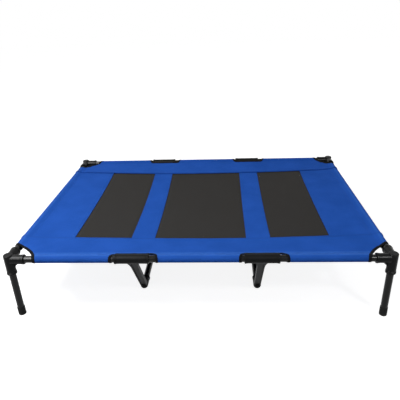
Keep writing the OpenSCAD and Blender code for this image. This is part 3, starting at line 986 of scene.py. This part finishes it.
cornerSides = {"front_left": (-1, -1), "front_right": (1, -1), "rear_left": (-1, 1), "rear_right": (1, 1)}
edges = []
for corner, (side, end) in cornerSides.items():
    cornerPath = cornerEdge(side, end)
    cutoutPath = cutoutEdge(side, end)
    bindEdge("corner_binding_" + corner, cornerPath, cornerCut["tape"])
    bindEdge("cutout_binding_" + corner, cutoutPath, cutout["tape"])
    edges.append((cornerPath, cornerCut["tape"]))
    edges.append((cutoutPath, cutout["tape"]))
print("edges bound:", len(edges))


# stitching
stitch = {
    "pitch": 0.0042,
    "long": 0.0031,
    "thick": 0.00042,
    "flatness": 0.8,  # height against width
    "over": 0.00048,  # height of its middle over the cloth's
    "overTape": 0.0002,  # and over the tape's upper face
    "tapeIn": 0.0022,  # row on the tape, from its inner edge
    "clear": 0.013,  # distance kept from the cut-outs
    "clearLong": 0.009,  # and in the hems of the long rails
    "pathStep": 0.004,
}


def threadGrain():
    # one stitch: a slim grain, made once
    deselectAll()
    bpy.ops.mesh.primitive_uv_sphere_add(segments=6, ring_count=4, radius=1)
    grain = bpy.context.object
    bpy.ops.object.mode_set(mode="EDIT")
    bpy.ops.mesh.select_all(action="SELECT")
    size = (stitch["thick"], stitch["thick"] * stitch["flatness"], stitch["long"] / 2)
    bpy.ops.transform.resize(value=size)
    bpy.ops.object.mode_set(mode="OBJECT")
    spots = spotsOf(grain.data)
    # sorted, because the order in which Blender lists the faces of a sphere changes from run to run
    faces = sorted(tuple(face.vertices) for face in grain.data.polygons)
    bpy.data.objects.remove(grain)
    return spots, faces


grainSpots, grainFaces = threadGrain()


def alongPath(path, lengths):
    # places on a path at these lengths from its start
    along = lengthAlong(path)
    return np.column_stack([np.interp(lengths, along, path[:, axis]) for axis in range(2)])


def stitchPlaces(path, clear):
    # middles and directions of the stitches along a flat path, kept clear of the cut-outs
    near = 0.0005
    whole = lengthAlong(path)[-1]
    count = int(whole / stitch["pitch"])
    middles = (np.arange(count) + 0.5) * whole / count
    spots = alongPath(path, middles)
    toward = unit(alongPath(path, middles + near) - alongPath(path, middles - near))
    kept = cutGap(spots) > clear
    return spots[kept], toward[kept]


def sewRows(name, rows, finish):
    # rows of stitches as one piece; each row is a flat path, its lift and a distance from the cut-outs
    reach = 0.001  # for the direction on the laid cloth
    rise = 0.0002
    vertices = []
    faces = []
    for path, liftAt, clear in rows:
        spots, toward = stitchPlaces(path, clear)
        lift = liftAt(spots)
        middle = onFrame(spots, lift)
        axis = unit(onFrame(spots + toward * reach, lift) - onFrame(spots - toward * reach, lift))
        up = unit(onFrame(spots, lift + rise) - middle)
        across = np.cross(axis, up)
        for spot, ahead, aside, above in zip(middle, axis, across, up):
            turned = np.outer(grainSpots[:, 0], aside) + np.outer(grainSpots[:, 1], above)
            shape = spot + turned + np.outer(grainSpots[:, 2], ahead)
            first = len(vertices) * len(grainSpots)
            vertices.append(shape)
            faces.extend([tuple(first + corner for corner in face) for face in grainFaces])
    mesh = bpy.data.meshes.new(name)
    mesh.from_pydata(np.concatenate(vertices).tolist(), [], faces)
    mesh.materials.append(finish)
    piece = bpy.data.objects.new(name, mesh)
    scene.collection.objects.link(piece)
    deselectAll()
    piece.select_set(True)
    bpy.context.view_layer.objects.active = piece
    bpy.ops.object.mode_set(mode="EDIT")
    bpy.ops.mesh.select_all(action="SELECT")
    bpy.ops.mesh.normals_make_consistent(inside=False)
    bpy.ops.object.mode_set(mode="OBJECT")
    bpy.ops.object.shade_smooth()
    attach(piece, "frame")
    return len(vertices)


def runAlong(axis, fixed, reach):
    # flat path from -reach to reach, at a fixed place of the other axis
    spots = evenLines((-reach, reach), stitch["pathStep"])
    level = np.full(len(spots), fixed)
    return np.column_stack((spots, level) if axis == 0 else (level, spots))


def seamRows():
    # along the edges of the long bands, and on round the side rails
    reach = stitchX + slopeL + wrapL

    def lift(spots):
        return np.full(len(spots), stitch["over"] + seam["raise"] + seam["fold"] - seam["dent"])

    places = [end * (cot["seamY"] + row) for end in (-1, 1) for row in seam["rows"]]
    return [(runAlong(0, place, reach), lift, stitch["clear"]) for place in places]


def windowRows():
    # down both sides of the end panels and strips, where the windows lie under them
    reach = cot["seamY"] - seam["tuck"]

    def lift(spots):
        return stitch["over"] + seam["fold"] - seam["dent"] + underBand(spots)

    places = []
    for low, high in windows.values():
        for row in seam["rows"]:
            places += [low - row, high + row]
    return [(runAlong(1, place, reach), lift, 0.0) for place in places]


def hemRows():
    # two rows inside each rail, through both layers of the hem
    def lift(spots):
        return np.full(len(spots), stitch["over"])

    rows = []
    for back in hem["rows"]:
        for way in (-1, 1):
            rows.append((runAlong(0, way * (stitchY - back), stitchX), lift, stitch["clearLong"]))
            rows.append((runAlong(1, way * (stitchX - back), stitchY), lift, stitch["clear"]))
    return rows


def tapeRows():
    # one row along each binding tape, near its inner edge
    def lift(spots):
        return np.full(len(spots), tape["over"] + tape["thick"] / 2 + stitch["overTape"])

    return [(path + inwardFrom(path) * (width - stitch["tapeIn"]), lift, 0.0) for path, width in edges]


sewn = sewRows("seam_stitches", seamRows(), blueThread)
sewn += sewRows("window_stitches", windowRows(), blueThread)
sewn += sewRows("hem_stitches", hemRows(), blueThread)
sewn += sewRows("tape_stitches", tapeRows(), blackThread)
print("stitches sewn:", sewn)


# floor, light and camera
stage = {
    "floor": 9.0,  # half of its side
    "floorColour": (0.50, 0.50, 0.50, 1),
    "floorRough": 0.9,
    "floorGlow": 0.88,  # only seen and mirrored, so the floor is white but casts no light
    "ambient": 0.24,
}


def seenDirectly(wire):
    # 1 for rays from the camera, or by way of a mirror or a clear piece
    kinds = ("Is Camera Ray", "Is Glossy Ray", "Is Transmission Ray")
    rays = [wire.add("ShaderNodeLightPath", out=kind) for kind in kinds]
    return (rays[0] + rays[1] + rays[2]).smaller(1.0)


def studioFloor():
    deselectAll()
    bpy.ops.mesh.primitive_plane_add(size=2 * stage["floor"])
    floor = bpy.context.object
    floor.name = "studioFloor"
    fixed = {"Base Color": stage["floorColour"], "Roughness": stage["floorRough"]}
    fixed.update({"Specular IOR Level": 0.0, "Emission Strength": 1.0})
    finish, wire, shader = newFinish("studioFloor", fixed)
    seen = seenDirectly(wire) * stage["floorGlow"]
    glow = wire.add("ShaderNodeCombineColor", None, {0: seen, 1: seen, 2: seen})
    wire.feed(shader.inputs["Emission Color"], glow)
    floor.data.materials.append(finish)


def studioWorld():
    world = bpy.data.worlds.new("studioWorld")
    world.use_nodes = True
    tree = world.node_tree
    tree.nodes.clear()
    wire = Wire(tree)
    soft = wire.add("ShaderNodeBackground", None, {"Color": (1, 1, 1, 1), "Strength": stage["ambient"]})
    white = wire.add("ShaderNodeBackground", None, {"Color": (1, 1, 1, 1), "Strength": 1.0})
    both = wire.add("ShaderNodeMixShader", None, {0: seenDirectly(wire), 1: soft, 2: white})
    out = tree.nodes.new("ShaderNodeOutputWorld")
    wire.feed(out.inputs["Surface"], both)
    scene.world = world


lamps = {
    "keyLight": {"place": (-1.12, -0.78, 2.0), "aim": (-0.4, -0.2, 0.2), "size": (0.6, 0.5), "power": 38},
    "fillLight": {"place": (1.15, -1.35, 1.35), "aim": (0.4, -0.1, 0.2), "size": (0.2, 0.2), "power": 5},
    "backLight": {"place": (-0.6, 2.2, 1.6), "aim": (0, 0.2, 0.2), "size": (2.2, 0.9), "power": 4},
    "ceilingShine": {"place": (-1.4, 0.2, 1.9), "aim": (-1.4, 0.2, 0), "size": (1.0, 1.8), "power": 23},
    "leftShine": {"place": (-1.65, -1.45, 1.9), "aim": (-1.65, -1.45, 0), "size": (1.3, 2.3), "power": 190},
    "rightShine": {"place": (1.4, -1.9, 1.9), "aim": (1.4, -1.9, 0), "size": (1.0, 0.6), "power": 62},
}
shines = ("ceilingShine", "leftShine", "rightShine")  # soft boxes that only glossy surfaces show


def softLight(name, place, aim, size, power):
    lamp = bpy.data.lights.new(name, "AREA")
    lamp.shape = "RECTANGLE"
    lamp.size = size[0]
    lamp.size_y = size[1]
    lamp.energy = power
    holder = bpy.data.objects.new(name, lamp)
    holder.location = place
    holder.rotation_euler = (Vector(aim) - Vector(place)).to_track_quat("-Z", "Y").to_euler()
    holder.visible_diffuse = name not in shines
    scene.collection.objects.link(holder)


camera = {
    "place": (0.0830, -1.55496, 0.93849),
    "yaw": -0.058242,
    "pitch": 0.437289,  # down
    "roll": -0.035952,
    "lens": 38.624,
    "sensor": 36,
    "nearest": 0.05,
}


def photoCamera():
    eye = bpy.data.cameras.new("photoCamera")
    eye.lens = camera["lens"]
    eye.sensor_width = camera["sensor"]
    eye.clip_start = camera["nearest"]
    holder = bpy.data.objects.new("photoCamera", eye)
    turn = Matrix.Rotation(-camera["yaw"], 4, "Z")
    turn = turn @ Matrix.Rotation(math.pi / 2 - camera["pitch"], 4, "X")
    turn = turn @ Matrix.Rotation(camera["roll"], 4, "Z")
    holder.matrix_world = Matrix.Translation(camera["place"]) @ turn
    scene.collection.objects.link(holder)
    scene.camera = holder


studioFloor()
studioWorld()
for name, settings in lamps.items():
    softLight(name, **settings)
photoCamera()
print("stage set")

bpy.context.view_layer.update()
for name, size, area in sheets:
    print("sheet", name, "%.3f x %.3f m, %.4f m2" % (size[0], size[1], area))
